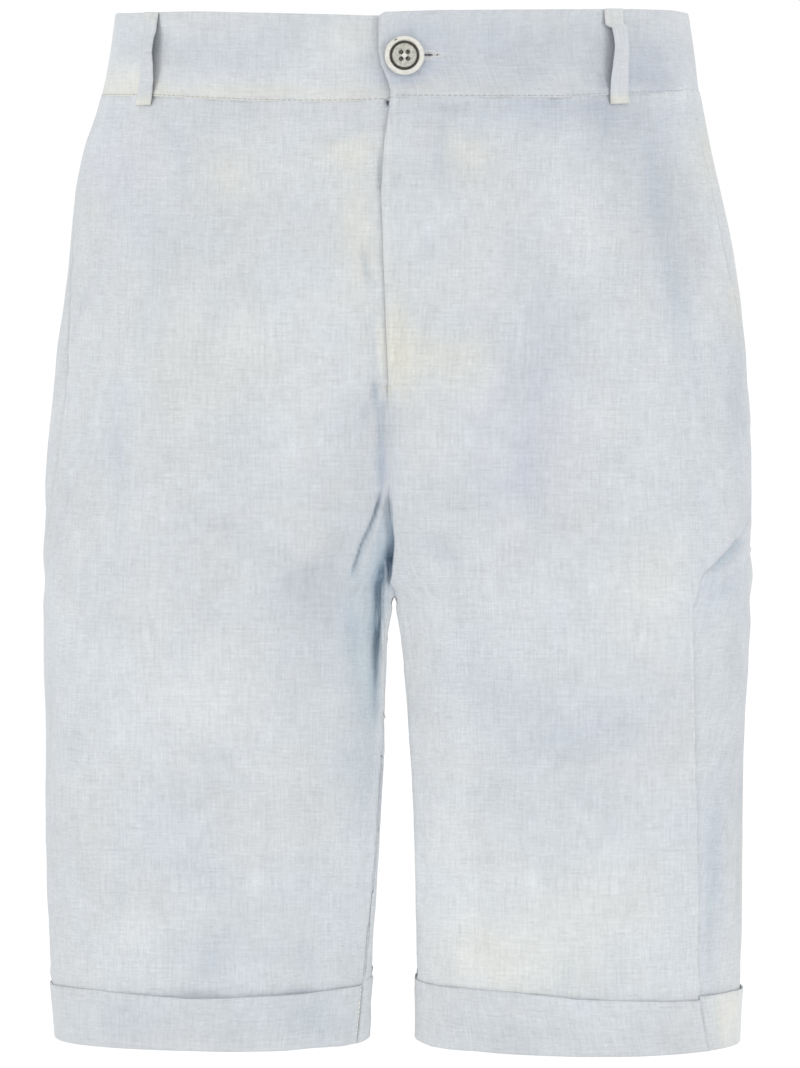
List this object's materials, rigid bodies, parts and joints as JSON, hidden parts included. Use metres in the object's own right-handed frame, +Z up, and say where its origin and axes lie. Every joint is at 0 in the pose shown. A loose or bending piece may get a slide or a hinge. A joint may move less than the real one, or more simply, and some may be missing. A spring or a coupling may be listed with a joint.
{
  "type": "bermuda shorts",
  "caption": "Linen bermuda shorts filled out as worn, open at the waist and hems, with a buttoned fly, belt loops, side pockets and turned-up hems.",
  "frame": {"origin": "centre of the waist, halfway up the waistband, where the wearer's waist holds the shorts up", "axes": "+Z up along the body, -Y out of the front, +X towards the wearer's left side"},
  "size_m": [0.3712, 0.2575, 0.5393],
  "materials": {
    "linen_panel": "washed pale blue linen, plain weave with slubs, cloudy cream and grey-blue patches",
    "linen_band": "washed pale blue linen, firm and flat, cream patches",
    "linen_cuff": "washed pale blue linen, turned up and pressed",
    "linen_loop": "washed pale blue linen strip, cream at the folded ends",
    "linen_facing": "washed linen, paler and creamier than the panels",
    "horn_button": "cream rim, dark groove, mottled grey-beige middle",
    "thread": "off-white sewing thread"
  },
  "bodies": {
    "root": {"front_left": "linen_panel", "front_right": "linen_panel", "back_left": "linen_panel", "back_right": "linen_panel", "pocket_facing_left": "linen_facing", "pocket_facing_right": "linen_facing", "cuff_front_left": "linen_cuff", "cuff_back_left": "linen_cuff", "cuff_front_right": "linen_cuff", "cuff_back_right": "linen_cuff", "waistband_left": "linen_band", "waistband_right": "linen_band", "loop_front_left": "linen_loop", "loop_front_right": "linen_loop", "loop_back_left": "linen_loop", "loop_back_right": "linen_loop", "loop_back_centre": "linen_loop", "button": "horn_button", "button_shank": "thread"}
  },
  "joints": []
}
